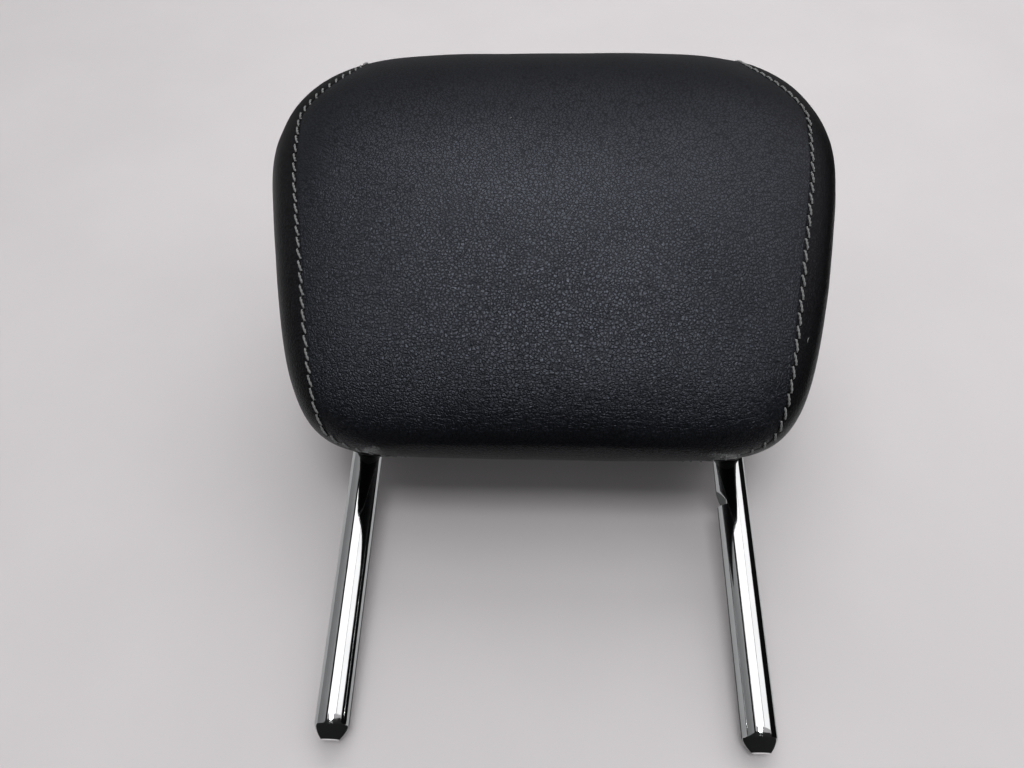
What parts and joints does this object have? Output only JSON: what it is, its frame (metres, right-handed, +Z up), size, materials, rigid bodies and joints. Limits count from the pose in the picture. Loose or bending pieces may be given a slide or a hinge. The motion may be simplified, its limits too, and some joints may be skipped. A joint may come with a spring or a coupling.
{
  "type": "car headrest",
  "caption": "Padded car headrest in dark grained leather with pale topstitching, leaning forward on chromed posts that slide into a seat back.",
  "frame": {"origin": "midway between the end faces of the post tips, on the posts' plane", "axes": "+Z up along the posts into the pad, -Y the way the face looks, +X across, towards the post with the notch"},
  "size_m": [0.2556, 0.133, 0.305],
  "materials": {
    "chrome_posts": "bright polished",
    "face_leather": "fine pebble grain, satin",
    "side_leather": "fine pebble grain, satin",
    "thread": "twisted sewing thread",
    "foam": "moulded open-cell foam",
    "carrier_plastic": "moulded",
    "trim_plastic": "moulded, fine texture",
    "screw_steel": "zinc plated"
  },
  "bodies": {
    "root": {"post_frame": "chrome_posts", "carrier_front_half": "carrier_plastic", "carrier_rear_half": "carrier_plastic", "carrier_screw_1": "screw_steel", "carrier_screw_2": "screw_steel", "carrier_screw_3": "screw_steel", "carrier_screw_4": "screw_steel", "foam_core": "foam", "cover_centre_panel": "face_leather", "cover_side_panel_left": "side_leather", "cover_side_panel_right": "side_leather", "topstitch_left": "thread", "topstitch_right": "thread", "post_bezel_left": "trim_plastic", "post_bezel_right": "trim_plastic", "closure_strip_front": "trim_plastic", "closure_strip_rear": "trim_plastic"}
  },
  "joints": []
}
